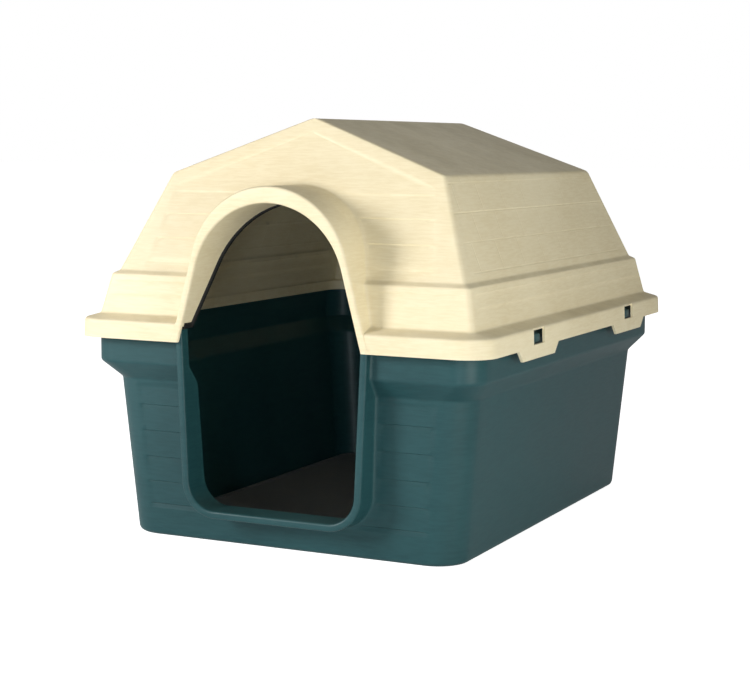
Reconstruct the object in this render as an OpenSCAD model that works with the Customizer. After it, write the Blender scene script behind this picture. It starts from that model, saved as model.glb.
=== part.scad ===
// Two-piece moulded kennel: a tapered base tray, a barn-shaped roof shell that
// drops over its rim, a rubber edging round the arched doorway and a floor mat.
// The doorway faces -Y, the ridge runs along Y and the part stands on z = 0.

/* [Overall] */
// Width over the roof skirt
overall_w = 660; // [550:5:800]
// Length over the roof skirt
overall_l = 820; // [680:5:990]
// Thickness of both moulded shells
wall = 4; // [3:0.5:5]

/* [Base] */
// Height of the rim that the roof rests on
rim_z = 322; // [270:1:390]
// Gap between the skirt's outside and the collar's outside
skirt_overhang = 19; // [16:1:26]
// Height of the upright collar below the rim
collar_h = 60; // [45:1:75]
// How far the walls step in under the collar
flare_in = 21; // [15:1:30]
// Height over which they step in
flare_h = 26; // [18:1:34]
// How far each side wall leans in from the flare to the foot
taper_side = 21; // [8:1:30]
// How far each end wall leans in from the flare to the foot
taper_end = 11; // [6:1:30]
// Plan radius of the base's upright corners
base_corner_r = 46; // [38:1:58]
// Radius of the bottom edge
foot_edge_r = 9; // [6:1:12]
// Height of the recess under the floor
floor_recess = 3; // [2:0.5:5]
// Width of the foot that is left round the recess
foot_band = 26; // [18:1:40]

/* [Roof] */
// Width of the ledge on top of the skirt
ledge_w = 28; // [24:1:36]
// Drop of the skirt below the rim
skirt_drop = 23; // [18:1:32]
// Plan radius of the skirt's corners
skirt_corner_r = 45; // [36:1:56]
// Height of the band above the skirt
band_h = 58; // [45:1:76]
// How far the band leans in over its height
band_lean = 13; // [8:1:18]
// Width of the step between the band and the panels above it
step_w = 9; // [6:1:14]
// Height of that step
step_h = 5; // [4:1:8]
// Height of the steep side panels
panel_h = 144; // [110:1:175]
// How far each side panel leans in over its height
panel_lean = 57; // [40:1:75]
// Height of the shallow roof planes above the side panels
cap_h = 80; // [64:1:100]
// Angle of the gables from upright, in degrees
gable_angle = 22.5; // [12:0.5:26]
// Length of the lip that hangs inside the rim
lip_drop = 9; // [6:1:14]

/* [Doorway] */
// Radius of the arch
arch_r = 120; // [96:1:140]
// Height of the crown of the arch
crown_z = 501; // [480:1:520]
// Width of the hood's front face at the crown
hood_crown_w = 24; // [18:1:32]
// Radius of the hood's outer arch
hood_r = 127; // [120:1:150]
// Angle of the hood's legs from upright, in degrees
leg_angle = 15; // [8:1:18]
// Half width of the opening in the base at rim height
door_half_w = 144; // [120:1:150]
// How far each side of that opening leans in down to the sill
door_taper = 12; // [4:1:20]
// Height of the sill
sill_z = 56; // [40:1:80]
// Radius of the opening's lower corners
door_corner_r = 42; // [25:1:55]
// Width of the raised frame round the opening
door_frame_w = 11; // [8:1:16]
// Thickness of the rubber edging
edging_t = 3; // [2:0.5:4]
// Depth of the groove in the edging
edging_grip = 6; // [5:0.5:9]

/* [Catches] */
// Distance between the two catches on one side
catch_pitch = 412; // [330:1:440]
// Length of the tab at its foot
tab_l = 126; // [90:1:140]
// How much longer the tab is at its top
tab_splay = 32; // [16:1:40]
// Drop of the tab below the skirt
tab_drop = 16; // [10:1:22]
// Length of the window in the tab
window_l = 44; // [32:1:52]
// Height of the window
window_h = 22; // [18:1:26]
// Length of the catch that stands in the window
catch_l = 28; // [20:1:36]
// Height of the catch's upright face
catch_h = 11; // [8:1:14]
// Gap between the catch and the tab's inside
catch_gap = 0.6; // [0.4:0.1:1.5]

/* [Mat] */
// Thickness of the floor mat
mat_t = 5; // [3:0.5:8]
// Gap between the mat and the walls
mat_gap = 3; // [2:0.5:8]

/* [Hidden] */

corner_steps = 7;
arc_steps = 24;
slack = 40;         // how far cutting bodies run past what they cut
graze = 1;          // the same, where little room is left
ledge_rise = 7;     // the ledge climbs this much from the skirt to the band
skirt_draft = 1;
skirt_edge = 4;     // bevel on the skirt's top edge
seat_gap = 3;       // gap between the lip and the collar's inside
front_gap = 2;      // gap between the skirt's front sheet and the door frame
foot_gap = 3;       // gap between the edging's foot and the door frame
fit_gap = 0.2;      // gap between the edging and what it grips
collar_corner_r = base_corner_r - 6;
heel_edge_r = foot_edge_r - 2;      // inside of the bottom edge
bend_rise = 2;      // the flare's inner bends sit this much above the outer ones
step_fall = 3;      // the step's inner bend sits this much below the outer one
knee_in = wall - 1; // inside of the knee, in from the outside and down from it
upper_corner_r = 5;
band_corner_r = 8;
band_top_corner_r = 7;
ridge_half = 6;
ridge_corner_r = 3;
edging_return = 6;  // how far the doorway's wall runs in past the gable
window_sill = 20;   // bar of the tab below its window
catch_rise = 2;     // gap between that bar and the catch
catch_undercut = 2; // the catch's underside falls this much towards the wall
catch_top_gap = 1;  // the catch's ramp ends this far below the rim

// ---- heights ----
ledge_z = rim_z + wall;
band_z = ledge_z + ledge_rise;
band_top_z = band_z + band_h;
panel_z = band_top_z + step_h;
knee_z = panel_z + panel_h;
ridge_z = knee_z + cap_h;
skirt_z = rim_z - skirt_drop;
tab_z = skirt_z - tab_drop;
window_z = tab_z + window_sill;
collar_z = rim_z - collar_h;
flare_z = collar_z - flare_h;
floor_z = floor_recess + wall;
frame_top_z = rim_z - edging_t - foot_gap;

// ---- half widths and half lengths, as [x, y] ----
skirt = [overall_w / 2, overall_l / 2];
band = inset(skirt, ledge_w);
band_top = inset(band, band_lean);
panel = inset(band_top, step_w);
knee = [panel[0] - panel_lean, panel[1] - gable_in(knee_z)];
ridge = [ridge_half, panel[1] - gable_in(ridge_z)];
collar = inset(skirt, skirt_overhang);
flare = inset(collar, flare_in);
foot = [flare[0] - taper_side, flare[1] - taper_end];
mat = inset(foot, wall + heel_edge_r + mat_gap);

front_y = -skirt[1];
frame_y = front_y + wall + front_gap;
arch_z = crown_z - arch_r;
hood_z = crown_z + hood_crown_w - hood_r;
hollow_z = band_z + wall;   // the hood is solid below this height
deep_y = front_y + ledge_w + band_lean + step_w + gable_in(crown_z + hood_crown_w) + slack;

function inset(half, by) = [half[0] - by, half[1] - by];
function gable_in(z) = tan(gable_angle) * (z - panel_z);

// One ring of a loft: half sizes, plan radius of the corners, height.
function ring(half, r, z) = [half[0], half[1], r, z];

// Points of a ring, anticlockwise from the +X +Y corner.
function ring_points(g) = [
    for (q = [0:3], s = [0:corner_steps])
        let (a = 90 * q + 90 * s / corner_steps,
             sx = (q == 0 || q == 3) ? 1 : -1,
             sy = (q < 2) ? 1 : -1)
            [sx * (g[0] - g[2]) + g[2] * cos(a), sy * (g[1] - g[2]) + g[2] * sin(a), g[3]]
];

// Closed body through a list of rings, capped at both ends. The list starts at a
// face that looks down and ends at one that looks up.
module loft(rings) {
    n = 4 * (corner_steps + 1);
    last = len(rings) - 1;
    points = [for (g = rings) each ring_points(g)];
    sides = [for (k = [0:last - 1], i = [0:n - 1])
        let (j = (i + 1) % n) [k * n + i, (k + 1) * n + i, (k + 1) * n + j, k * n + j]];
    first_cap = [for (i = [0:n - 1]) i];
    last_cap = [for (i = [n - 1:-1:0]) last * n + i];
    polyhedron(points = points, faces = concat([first_cap], sides, [last_cap]));
}

// Points of an arc about [x, z], from angle a to angle b.
function arc(x, z, r, a, b) = [
    for (s = [0:arc_steps]) let (t = a + (b - a) * s / arc_steps) [x + r * cos(t), z + r * sin(t)]
];

// Round-headed arch with leaning legs, cut off level at height foot_z.
function arch_leg_x(r, centre_z, z) =
    r * cos(leg_angle) + (centre_z + r * sin(leg_angle) - z) * tan(leg_angle);
function arch_outline(r, centre_z, foot_z) = concat(
    [[arch_leg_x(r, centre_z, foot_z), foot_z]],
    arc(0, centre_z, r, leg_angle, 180 - leg_angle),
    [[-arch_leg_x(r, centre_z, foot_z), foot_z]]
);

// Doorway outline in the base, grown by a margin and cut off level at top_z.
function door_lean() = atan(door_taper / (rim_z - sill_z));
function door_half(z) = door_half_w - (rim_z - z) * tan(door_lean());
function door_outline(margin, top_z) =
    let (r = door_corner_r + margin,
         cz = sill_z + door_corner_r,
         lean = door_lean(),
         cx = door_half(cz) - door_corner_r / cos(lean),
         top_x = door_half(top_z) + margin / cos(lean))
    concat([[top_x, top_z], [-top_x, top_z]],
           arc(-cx, cz, r, 180 + lean, 270),
           arc(cx, cz, r, 270, 360 - lean));

// Outline drawn in X and Z, carried along Y from y0 to y1.
module along_y(outline, y0, y1) {
    translate([0, y1, 0]) rotate([90, 0, 0]) linear_extrude(height = y1 - y0) polygon(outline);
}

// Outline drawn in Y and Z, carried along X over a half width either side.
module along_x(outline, half) {
    translate([-half, 0, 0])
        rotate([90, 0, 90]) linear_extrude(height = 2 * half) polygon(outline);
}

// ---- base ----
module base_skin() {
    bevel = foot_edge_r * (1 - cos(45));
    r_in = base_corner_r - wall;
    r_collar_in = collar_corner_r - wall;
    loft([
        ring(inset(foot, foot_edge_r), base_corner_r - foot_edge_r, 0),
        ring(inset(foot, bevel), base_corner_r - bevel, bevel),
        ring(foot, base_corner_r, foot_edge_r),
        ring(flare, base_corner_r, flare_z),
        ring(collar, collar_corner_r, collar_z),
        ring(collar, collar_corner_r, rim_z),
        ring(inset(collar, wall), r_collar_in, rim_z),
        ring(inset(collar, wall), r_collar_in, collar_z + bend_rise),
        ring(inset(flare, wall), r_in, flare_z + bend_rise),
        ring(inset(foot, wall), r_in, floor_z + heel_edge_r),
        ring(inset(foot, wall + heel_edge_r), r_in - heel_edge_r, floor_z)
    ]);
}

// Space inside the base, used to trim what is added to its front.
module base_void() {
    r_in = base_corner_r - wall;
    r_collar_in = collar_corner_r - wall;
    loft([
        ring(inset(foot, wall + heel_edge_r), r_in - heel_edge_r, floor_z),
        ring(inset(foot, wall), r_in, floor_z + heel_edge_r),
        ring(inset(flare, wall), r_in, flare_z + bend_rise),
        ring(inset(collar, wall), r_collar_in, collar_z + bend_rise),
        ring(inset(collar, wall), r_collar_in, rim_z + slack)
    ]);
}

module door_frame() {
    difference() {
        along_y(door_outline(door_frame_w, frame_top_z), frame_y, -foot[1] + slack);
        base_void();
    }
}

// Catch with a ramp on top and an upright face behind the tab's window.
module catch() {
    tip_x = skirt[0] - skirt_draft - wall - catch_gap;
    root_x = collar[0] - wall / 2;
    low_z = window_z + catch_rise;
    profile = [
        [root_x, low_z - catch_undercut], [tip_x, low_z],
        [tip_x, low_z + catch_h], [root_x, rim_z - catch_top_gap]
    ];
    translate([0, catch_l / 2, 0])
        rotate([90, 0, 0]) linear_extrude(height = catch_l) polygon(profile);
}

module each_catch() {
    for (side = [0, 1], end = [-1, 1])
        mirror([side, 0, 0]) translate([0, end * catch_pitch / 2, 0]) children();
}

module base_shell() {
    recess = inset(foot, foot_band);
    notch_half = arch_leg_x(hood_r, hood_z, frame_top_z) + edging_t;
    color("#3e5e5b") difference() {
        union() {
            base_skin();
            door_frame();
            each_catch() catch();
        }
        along_y(door_outline(0, rim_z + slack), front_y - slack, -foot[1] + slack);
        translate([-notch_half, -collar[1] - graze, frame_top_z])
            cube([2 * notch_half, wall + 2 * graze, slack]);
        loft([
            ring(recess, base_corner_r - foot_edge_r, -graze),
            ring(recess, base_corner_r - foot_edge_r, floor_recess)
        ]);
    }
}

// ---- roof ----
module roof_skin() {
    r_skirt = skirt_corner_r;
    r_lip = collar_corner_r - wall - seat_gap;
    lip_out = inset(collar, wall + seat_gap);
    loft([
        ring(inset(ridge, wall - knee_in), ridge_corner_r, ridge_z - wall),
        ring(inset(knee, knee_in), upper_corner_r, knee_z - knee_in),
        ring(inset(panel, wall), upper_corner_r, panel_z - step_fall),
        ring(inset(band_top, wall), upper_corner_r, band_top_z - step_fall),
        ring(inset(band, wall), band_corner_r - wall, band_z),
        ring(inset(lip_out, wall), r_lip - wall, rim_z + wall),
        ring(inset(lip_out, wall), r_lip - wall, rim_z - lip_drop),
        ring(lip_out, r_lip, rim_z - lip_drop),
        ring(lip_out, r_lip, rim_z),
        ring(inset(skirt, wall + skirt_draft), r_skirt - wall, rim_z),
        ring(inset(skirt, wall), r_skirt - wall, skirt_z),
        ring(skirt, r_skirt, skirt_z),
        ring(inset(skirt, skirt_draft), r_skirt, ledge_z - skirt_edge),
        ring(inset(skirt, skirt_draft + skirt_edge), r_skirt - skirt_edge, ledge_z),
        ring(band, band_corner_r, band_z),
        ring(band_top, band_top_corner_r, band_top_z),
        ring(panel, upper_corner_r, panel_z),
        ring(knee, upper_corner_r, knee_z),
        ring(ridge, ridge_corner_r, ridge_z)
    ]);
}

// Space inside the roof, down past the skirt.
module roof_void() {
    r_skirt = skirt_corner_r - wall;
    loft([
        ring(inset(skirt, wall), r_skirt, skirt_z - slack),
        ring(inset(skirt, wall), r_skirt, skirt_z),
        ring(inset(skirt, wall + skirt_draft), r_skirt, rim_z),
        ring(inset(band, wall), band_corner_r - wall, rim_z),
        ring(inset(band, wall), band_corner_r - wall, band_z),
        ring(inset(band_top, wall), upper_corner_r, band_top_z - step_fall),
        ring(inset(panel, wall), upper_corner_r, panel_z - step_fall),
        ring(inset(knee, knee_in), upper_corner_r, knee_z - knee_in),
        ring(inset(ridge, wall - knee_in), ridge_corner_r, ridge_z - wall)
    ]);
}

// Rear edge of the doorway's wall: y at height z, moved back by a distance.
function rear_y(z, back) = -panel[1] + gable_in(z) + wall + edging_return + back;
function rear_outline(z0, z1, back) = [
    [front_y + wall / 2, z0], [rear_y(z0, back), z0],
    [rear_y(z1, back), z1], [front_y + wall / 2, z1]
];

// Hood in front of the gable, and the doorway's wall behind its front face.
module hood() {
    top_z = crown_z + hood_crown_w + slack;
    difference() {
        along_y(arch_outline(hood_r, hood_z, skirt_z), front_y, deep_y);
        roof_void();
    }
    intersection() {
        along_y(arch_outline(arch_r + wall, arch_z, rim_z), front_y + wall / 2, deep_y);
        along_x(rear_outline(rim_z, top_z, 0), overall_w);
    }
}

module hood_hollow() {
    difference() {
        along_y(arch_outline(hood_r - wall, hood_z, hollow_z), front_y + wall, deep_y);
        along_y(arch_outline(arch_r + wall, arch_z, rim_z - slack), front_y, deep_y + graze);
    }
}

// Tab that hangs from the skirt, with splayed ends.
module tab() {
    half_top = (tab_l + tab_splay) / 2;
    outline = [
        [-half_top, skirt_z + skirt_edge], [-half_top, skirt_z], [-tab_l / 2, tab_z],
        [tab_l / 2, tab_z], [half_top, skirt_z], [half_top, skirt_z + skirt_edge]
    ];
    translate([skirt[0] - wall, 0, 0])
        rotate([90, 0, 90]) linear_extrude(height = wall) polygon(outline);
}

module window() {
    translate([skirt[0] - 2 * wall, -window_l / 2, window_z]) cube([4 * wall, window_l, window_h]);
}

module roof_shell() {
    lip_gap = arch_leg_x(hood_r, hood_z, rim_z) + 2 * edging_t;
    color("#efe5c0") difference() {
        union() {
            roof_skin();
            hood();
            each_catch() tab();
        }
        along_y(arch_outline(arch_r, arch_z, skirt_z - slack), front_y - slack, deep_y + slack);
        hood_hollow();
        translate([-lip_gap, front_y + wall + skirt_draft, rim_z - slack])
            cube([2 * lip_gap, ledge_w + 2 * wall, slack]);
        each_catch() window();
    }
}

// ---- edging round the doorway ----
// Everything between an outer arch and the line of the opening, in front of
// the rear face that is passed in as a profile.
module arch_band(outer, low_z, inner_r, rear) {
    intersection() {
        difference() {
            along_y(outer, front_y, deep_y);
            along_y(arch_outline(inner_r, arch_z, low_z - slack), front_y - graze, deep_y + graze);
        }
        along_x(rear, overall_w);
    }
}

module edging_blank() {
    top_z = crown_z + slack;
    low_z = rim_z - edging_t;
    outer = arch_outline(arch_r + wall + edging_t, arch_z, low_z);
    rear = [
        [rear_y(low_z, -edging_grip), low_z], [rear_y(low_z, edging_t), low_z],
        [rear_y(top_z, edging_t), top_z], [rear_y(top_z, -edging_grip), top_z]
    ];
    foot_y = front_y + wall + graze;
    base = [
        [foot_y, low_z], [rear_y(low_z, 0), low_z],
        [rear_y(low_z, 0), rim_z + edging_t], [foot_y, rim_z + edging_t]
    ];
    arch_band(outer, low_z, arch_r - edging_t, rear);
    arch_band(outer, low_z, arch_r - edging_t, base);
}

// All that lies outside the hood's hollow, above the rim.
module outside_hood() {
    low_z = rim_z - fit_gap;
    difference() {
        along_y(arch_outline(hood_r + slack, hood_z, low_z), front_y, deep_y);
        along_y(arch_outline(hood_r - wall - fit_gap, hood_z, low_z - slack),
                front_y - graze, deep_y + graze);
    }
}

module door_edging() {
    top_z = crown_z + slack;
    grip_z = rim_z - fit_gap;
    groove = arch_outline(arch_r + wall + fit_gap, arch_z, grip_z);
    gable = arch_outline(hood_r, hood_z, grip_z);
    block_y = max(-band[1] + wall, -collar[1] + 2 * wall + seat_gap) + graze;
    block_z = hollow_z + fit_gap;
    block = [[front_y, grip_z], [block_y, grip_z], [block_y, block_z], [front_y, block_z]];
    color("#161616") difference() {
        edging_blank();
        arch_band(groove, grip_z, arch_r - fit_gap, rear_outline(grip_z, top_z, fit_gap));
        arch_band(gable, grip_z, arch_r - fit_gap,
                  rear_outline(grip_z, top_z, fit_gap - edging_return));
        arch_band(gable, grip_z, arch_r - fit_gap, block);
        outside_hood();
    }
}

// ---- floor mat ----
module floor_mat() {
    r = base_corner_r - wall - foot_edge_r;
    color("#3a3b3e") loft([
        ring(mat, r, floor_z),
        ring(mat, r, floor_z + mat_t)
    ]);
}

base_shell();
roof_shell();
door_edging();
floor_mat();
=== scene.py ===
"""A moulded two-piece kennel: green base tray, cream barn roof, rubber edging whose very dark
colour is painted shade round the doorway, and floor mat.
"""

import logging
import math
from dataclasses import dataclass, field
from enum import Enum
from typing import Any, Optional, Sequence

import bmesh
import bpy
import numpy as np
from mathutils import Matrix, Vector


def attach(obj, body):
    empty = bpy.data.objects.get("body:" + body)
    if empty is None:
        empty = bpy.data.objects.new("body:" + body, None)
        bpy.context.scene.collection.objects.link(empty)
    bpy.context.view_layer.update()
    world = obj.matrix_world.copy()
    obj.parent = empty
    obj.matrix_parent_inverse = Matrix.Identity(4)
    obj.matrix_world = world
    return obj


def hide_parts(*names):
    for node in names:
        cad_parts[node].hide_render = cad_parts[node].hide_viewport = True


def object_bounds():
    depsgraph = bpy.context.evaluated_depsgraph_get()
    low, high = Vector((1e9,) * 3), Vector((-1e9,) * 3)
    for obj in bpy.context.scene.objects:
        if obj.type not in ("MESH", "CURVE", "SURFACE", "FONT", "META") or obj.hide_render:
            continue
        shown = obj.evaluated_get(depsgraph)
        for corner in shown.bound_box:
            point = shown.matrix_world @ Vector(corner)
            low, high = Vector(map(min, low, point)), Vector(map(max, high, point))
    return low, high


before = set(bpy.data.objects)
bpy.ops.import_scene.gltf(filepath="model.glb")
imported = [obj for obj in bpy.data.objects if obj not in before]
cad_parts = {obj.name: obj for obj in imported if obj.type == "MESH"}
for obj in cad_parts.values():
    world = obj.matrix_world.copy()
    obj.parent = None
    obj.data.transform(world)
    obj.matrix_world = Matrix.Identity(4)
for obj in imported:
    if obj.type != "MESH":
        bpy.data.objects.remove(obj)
CAD_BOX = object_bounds()

LOG = logging.getLogger("kennel")
MILLIMETRE = 0.001
MERGE_MM = 0.06          # points closer than this are one point
SHARP_DEG = 34.0         # edges sharper than this are not shaded smooth
HALF_W, HALF_L = (round(v / MILLIMETRE, 1) for v in CAD_BOX[1][:2])
OVERHANG = 19.0          # the skirt stands out this far past the collar
RIM_W, RIM_L = HALF_W - OVERHANG, HALF_L - OVERHANG
COLLAR_DROP = 60.0       # the collar's lower edge lies this far below the rim
RIM_Z = 322.0
TAB_Y = 206.0            # middle of each tab and catch, from the middle of the side
SHAKE_MM = 0.45          # depth of the joints between the roof's shakes
MIRROR = np.array([-1.0, 1.0, 1.0])
Array = np.ndarray
Columns = list[tuple[Array, Array, Array]]


class Slot(Enum):
    """The record's material slots."""

    GREEN = "green_plastic"
    CREAM = "cream_plastic"
    BLACK = "black_rubber"
    GREY = "grey_rubber"


class Body(Enum):
    """The bodies that the pieces ride on."""

    BASE = "base"
    ROOF = "roof"
    MAT = "mat"


# ---------------------------------------------------------------- surfaces


@dataclass
class Patch:
    """A grid of points, and which of its cells are faces.

    Args:
        points: array of rows x columns x 3, in millimetres.
        cells: array of (rows - 1) x (columns - 1) booleans, or None for all.
        looped: the last column joins the first.
        capped: the first and last rows are closed with one face each.
    """

    points: Array
    cells: Optional[Array] = None
    looped: bool = False
    capped: bool = False

    def faces(self, first: int) -> tuple[Array, list[list[int]]]:
        """Numbers the corners of the cells.

        Args:
            first: number of this patch's first point in the whole mesh.

        Returns:
            The four-sided faces as an array, and the caps as lists.
        """
        rows, columns = self.points.shape[:2]
        number = first + np.arange(rows * columns).reshape(rows, columns)
        if self.looped:
            number = np.concatenate([number, number[:, :1]], axis=1)
        quads = np.stack(
            [number[:-1, :-1], number[:-1, 1:], number[1:, 1:], number[1:, :-1]], axis=-1
        )
        quads = quads.reshape(-1, 4) if self.cells is None else quads[self.cells]
        caps = []
        if self.capped:
            caps = [number[0, :columns][::-1].tolist(), number[-1, :columns].tolist()]
        return quads, caps

    def mirrored(self) -> "Patch":
        """The patch on the other side of x = 0, still facing outwards."""
        points = self.points[:, ::-1] * MIRROR
        cells = None if self.cells is None else self.cells[:, ::-1]
        return Patch(points, cells, self.looped, self.capped)


@dataclass
class Piece:
    """One visible piece, from its patches to its place on a body.

    Args:
        name: name of the object.
        patches: its surfaces, which are merged where they meet.
        wall: thickness that is added on the inside, in millimetres.
    """

    name: str
    patches: list[Patch]
    wall: float = 0.0

    def _sheet(self) -> Any:
        """Joins the patches into one mesh and merges the points that meet."""
        points = np.concatenate([p.points.reshape(-1, 3) for p in self.patches])
        faces: list[list[int]] = []
        first = 0
        for patch in self.patches:
            quads, caps = patch.faces(first)
            faces += quads.tolist() + caps
            first += patch.points.shape[0] * patch.points.shape[1]
        mesh = bpy.data.meshes.new(self.name)
        mesh.from_pydata((points * MILLIMETRE).tolist(), [], faces)
        work = bmesh.new()
        work.from_mesh(mesh)
        bmesh.ops.remove_doubles(work, verts=work.verts, dist=MERGE_MM * MILLIMETRE)
        bmesh.ops.dissolve_degenerate(work, dist=MERGE_MM * MILLIMETRE / 10, edges=work.edges)
        loose = [v for v in work.verts if not v.link_faces]
        bmesh.ops.delete(work, geom=loose, context="VERTS")
        work.to_mesh(mesh)
        work.free()
        return mesh

    def build(self, body: Body, slot: Slot, material: Any, *nodes: str) -> Any:
        """Makes the object and says what it is part of.

        Args:
            body: the body that it rides on.
            slot: the slot of the record; not used.
            material: its material.
            nodes: the CAD nodes that it stands for.

        Returns:
            The new object.
        """
        piece = bpy.data.objects.new(self.name, self._sheet())
        bpy.context.scene.collection.objects.link(piece)
        if self.wall:
            shell = piece.modifiers.new("wall", "SOLIDIFY")
            shell.thickness = self.wall * MILLIMETRE
            shell.offset = -1.0
            shell.use_even_offset = True
            shell.use_quality_normals = True
            shell.thickness_clamp = 0.0
        settle(piece)
        piece.data.materials.append(material)
        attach(piece, body.value)
        if nodes:
            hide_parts(*nodes)
        LOG.info("%s: %d faces on %s", self.name, len(piece.data.polygons), body.value)
        return piece


def settle(piece: Any) -> None:
    """Applies the modifiers of an object and sets its smooth shading."""
    graph = bpy.context.evaluated_depsgraph_get()
    made = bpy.data.meshes.new_from_object(piece.evaluated_get(graph))
    piece.modifiers.clear()
    old, piece.data = piece.data, made
    made.name = piece.name
    bpy.data.meshes.remove(old)
    made.shade_smooth()
    made.set_sharp_from_angle(angle=math.radians(SHARP_DEG))


def smooth_step(t: Array) -> Array:
    """Rises from 0 to 1 as t goes from 0 to 1, level at both ends: 3t^2 - 2t^3."""
    t = np.clip(t, 0.0, 1.0)
    return t * t * (3.0 - 2.0 * t)


def steps(count: int) -> Array:
    """Shares of the way from 0 to 1, evenly spaced, without the 0."""
    return np.linspace(0.0, 1.0, count + 1)[1:]


def bezier(a: Array, b: Array, c: Array, t: Array) -> Array:
    """Quadratic curve from a to c that leaves towards b and arrives from b."""
    return (1 - t) ** 2 * a + 2 * t * (1 - t) * b + t**2 * c


def spread(*stops: float, gap: float = 12.0) -> Array:
    """Values that hit every stop and are no further than a gap apart."""
    runs = [
        np.linspace(a, b, max(2, int(math.ceil(abs(b - a) / gap)) + 1))[:-1]
        for a, b in zip(stops[:-1], stops[1:])
    ]
    return np.concatenate(runs + [np.array([stops[-1]])])


@dataclass
class Profile:
    """Rings that a shell passes through, each a rounded rectangle in plan.

    A ring is half width, half length, corner radius and height. Between rings
    all four change in proportion, and every inner ring is rounded off.

    Args:
        rings: array of rings x 4.
        setbacks: how far each inner ring's rounding starts before and after it.
        samples: steps in one rounding.
    """

    rings: Array
    setbacks: Sequence[float]
    samples: int = 5

    def rows(self) -> Array:
        """The rings with their roundings: array of rows x 4."""
        t = np.linspace(0.0, 1.0, self.samples + 1)[:, None]
        rows = [self.rings[:1]]
        for before, here, after, d in zip(
            self.rings[:-2], self.rings[1:-1], self.rings[2:], self.setbacks
        ):
            back = here + d * (before - here) / np.hypot(*(before - here)[[0, 3]])
            on = here + d * (after - here) / np.hypot(*(after - here)[[0, 3]])
            rows.append(bezier(back, here, on, t))
        rows.append(self.rings[-1:])
        return np.concatenate(rows)

    @staticmethod
    def at_heights(rows: Array, heights: Array) -> Array:
        """Adds rows at more heights to rows whose height only rises."""
        z = np.unique(np.round(np.concatenate([rows[:, 3], heights]), 3))
        top = z[-1]
        z = z[np.concatenate([[True], np.diff(z) > 0.05])]
        z[-1] = top
        return np.stack([np.interp(z, rows[:, 3], rows[:, k]) for k in range(3)] + [z], axis=1)


@dataclass
class Ground:
    """Where each column of a half shell lies on the way from the front to the rear.

    Args:
        front: shares of the way along the front, from 0 at its inner end to 1.
        side: shares of the way along the side, from -1 to 1.
        rear: shares of the way along the rear, from 1 at the corner to 0.
        corner: steps round a corner.
    """

    front: Array
    side: Array
    rear: Array
    corner: int = 8

    def points(self, rows: Array, inner: Array) -> Array:
        """Lays the columns out on every ring.

        The front and rear are straight in x, the side is straight in y and the
        corners are quarter circles.

        Args:
            rows: rings as rows x 4.
            inner: x at which the front starts on each row.

        Returns:
            Array of rows x columns x 3.
        """
        hx, hy, r, z = (rows[:, k, None] for k in range(4))
        turn = np.linspace(0.0, math.pi / 2, self.corner + 1)[None, 1:]
        cx, cy = hx - r, hy - r
        inner = inner[:, None]
        share = self.front[None, :] if self.front.ndim == 1 else self.front
        xs = [inner + share * (cx - inner), cx + r * np.sin(turn)]
        ys = [-hy + 0 * share, -cy - r * np.cos(turn)]
        side = self.side[None, 1:]
        xs += [hx + 0 * side, cx + r * np.cos(turn)]
        ys += [cy * side, cy + r * np.sin(turn)]
        rear = self.rear[None, 1:]
        xs.append(cx * rear)
        ys.append(hy + 0 * rear)
        x, y = np.concatenate(xs, axis=1), np.concatenate(ys, axis=1)
        return np.stack([x, y, z + 0 * x], axis=-1)

    def parts(self) -> dict[str, slice]:
        """The columns that belong to each stretch."""
        counts = [self.front.shape[-1], self.corner, len(self.side) - 1, self.corner]
        ends = np.cumsum(counts + [len(self.rear) - 1])
        names = ["front", "corner_front", "side", "corner_rear", "rear"]
        starts = [0, *ends[:-1]]
        return {n: slice(int(a), int(b)) for n, a, b in zip(names, starts, ends)}

    def mask(self, **spans: tuple[int, Optional[int]]) -> Array:
        """Ones in the given columns and zeros in the rest.

        Args:
            spans: for each stretch, its first column and the one after its last.
        """
        parts = self.parts()
        made = np.zeros(parts["rear"].stop)
        for name, (first, last) in spans.items():
            made[parts[name]][first:last] = 1.0
        return made


def lap_depth(z: Array, lines: Sequence[float], depth: float, step: float = 1.2) -> Array:
    """How far lapped boards fall back behind the plain surface at height z.

    Each board starts flush at its lower edge and falls back evenly to the full
    depth at the next line, where the next board starts flush again.
    """
    edges = np.array(sorted(lines))
    k = np.clip(np.searchsorted(edges, z, side="right") - 1, 0, len(edges) - 2)
    span = edges[k + 1] - edges[k]
    rise = np.clip((z - edges[k]) / (span - step), 0.0, 1.0)
    fall = np.clip((edges[k + 1] - z) / step, 0.0, 1.0)
    inside = (z >= edges[0]) & (z <= edges[-1])
    return depth * np.minimum(rise, fall) * inside


def line_rows(lines: Sequence[float], step: float = 1.2) -> Array:
    """Heights at both sides of each board's lower edge."""
    lines = np.asarray(lines, float)
    return np.concatenate([lines - step, lines])


def push_in(points: Array, depth: Array) -> Array:
    """Moves each point against the surface's own normal by a depth.

    The normal is the cross product of the grid's two directions.
    """
    across, up = np.gradient(points, axis=1), np.gradient(points, axis=0)
    normal = np.cross(across, up)
    size = np.linalg.norm(normal, axis=-1, keepdims=True)
    normal = np.where(size > 1e-9, normal / np.maximum(size, 1e-9), 0.0)
    return points - normal * depth[..., None]


# ---------------------------------------------------------------- roof


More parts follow.
